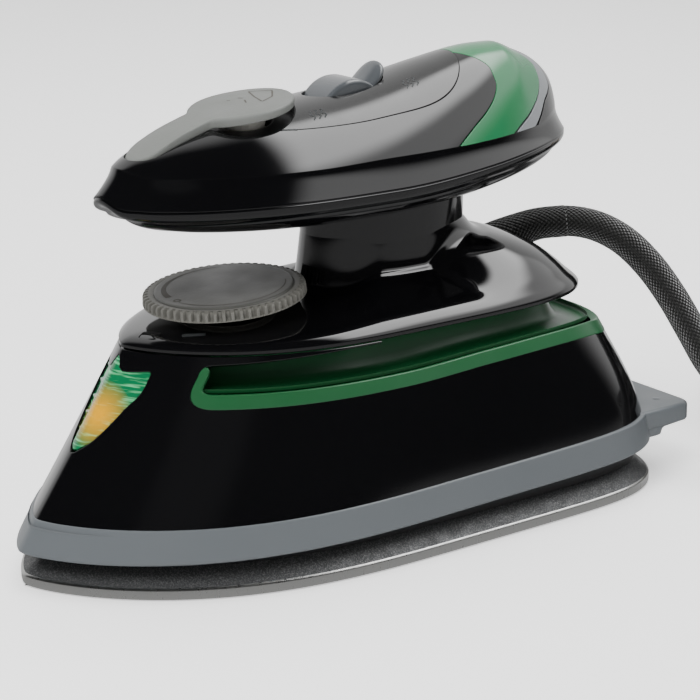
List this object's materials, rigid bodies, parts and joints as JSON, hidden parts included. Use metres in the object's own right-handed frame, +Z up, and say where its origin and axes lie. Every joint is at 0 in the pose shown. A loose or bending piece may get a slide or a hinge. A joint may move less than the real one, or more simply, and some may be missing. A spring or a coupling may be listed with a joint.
{
  "type": "steam iron",
  "caption": "Compact steam iron: pointed soleplate, grey skirt, gloss black body with a green cord groove, knurled dial, arched handle with filler cap and steam lever, coiled mains lead.",
  "frame": {"origin": "middle of the soleplate's underside, on the surface that the iron stands on", "axes": "+Z up, the nose towards -Y, the heel towards +Y, +X across"},
  "size_m": [0.1199, 0.3038, 0.1101],
  "materials": {
    "gloss_black": "polished",
    "satin_black": "satin moulded",
    "skirt_grey": "satin paint",
    "dial_grey": "fine moulded grain",
    "cap_grey": "satin paint",
    "lever_grey": "satin",
    "channel_green": "translucent satin",
    "band_green": "polished",
    "lens_green": "clear tinted, ribbed",
    "lamp_amber": "clear tinted",
    "sole_metal": "brushed and polished rim",
    "cast_metal": "as cast",
    "steel": "plated",
    "brass": "plain",
    "clear_tank": "clear",
    "silicone": "matte",
    "ceramic": "unglazed",
    "textile": "braided",
    "wire_brown": "satin sleeve",
    "wire_blue": "satin sleeve",
    "wire_green": "satin sleeve",
    "cord_black": "satin moulded"
  },
  "bodies": {
    "iron": {"soleplate": "sole_metal", "heating_element": "steel", "element_terminal_right": "brass", "element_terminal_left": "brass", "steam_chamber_cover": "cast_metal", "cover_screw_1": "steel", "cover_screw_2": "steel", "cover_screw_3": "steel", "cover_screw_4": "steel", "heat_shield": "satin_black", "skirt": "skirt_grey", "heel_screw_1": "steel", "heel_screw_2": "steel", "body_shell": "gloss_black", "nose_lens": "lens_green", "cord_channel": "channel_green", "pilot_lamp": "lamp_amber", "deck_cover": "gloss_black", "dial_collar": "dial_grey", "thermostat": "ceramic", "thermostat_bracket": "steel", "thermal_fuse": "ceramic", "terminal_block": "satin_black", "supply_tail": "textile", "cord_clamp": "satin_black", "live_wire": "wire_brown", "neutral_wire": "wire_blue", "earth_wire": "wire_green", "handle_lower": "gloss_black", "handle_screw_1": "steel", "handle_screw_2": "steel", "handle_upper": "gloss_black", "top_panel": "satin_black", "green_band": "band_green", "water_tank": "clear_tank", "inlet_seal": "silicone", "tank_lid": "clear_tank", "lever_pin": "steel", "valve_seat": "silicone", "drip_tube": "silicone", "cord_gland": "cord_black", "cord_lead": "textile", "cord_coil": "textile", "coil_tie": "cord_black", "plug_relief": "cord_black", "cord_tail": "textile", "plug_body": "cord_black", "plug_pin_earth": "brass", "plug_pin_live": "brass", "plug_pin_neutral": "brass"},
    "dial": {"temperature_dial": "dial_grey", "dial_shaft": "steel"},
    "lever": {"steam_lever": "lever_grey"},
    "needle": {"needle_rod": "steel", "needle_spring": "steel"},
    "cap": {"fill_cap": "cap_grey", "fill_plug": "silicone"}
  },
  "joints": [
    {"name": "dial_turn", "type": "hinge", "parent": "iron", "child": "dial", "pos_m": [0, -0.0321, 0.0578], "axis": [0, -0.0872, 0.9962], "range_deg": [0, 270]},
    {"name": "steam_lever", "type": "hinge", "parent": "iron", "child": "lever", "pos_m": [0, 0.0013, 0.0971], "axis": [1, 0, 0], "range_deg": [0, 50]},
    {"name": "needle_lift", "type": "slide", "parent": "iron", "child": "needle", "axis": [0, 0, 1], "range_m": [0, 0.002], "deforming": ["needle_spring"]},
    {"name": "cap_flip", "type": "hinge", "parent": "iron", "child": "cap", "pos_m": [0, -0.059, 0.0929], "axis": [1, 0, 0], "range_deg": [0, 100]}
  ],
  "couplings": [
    {"joint": "needle_lift", "follows": "steam_lever", "m_per_rad": 0.00229}
  ]
}
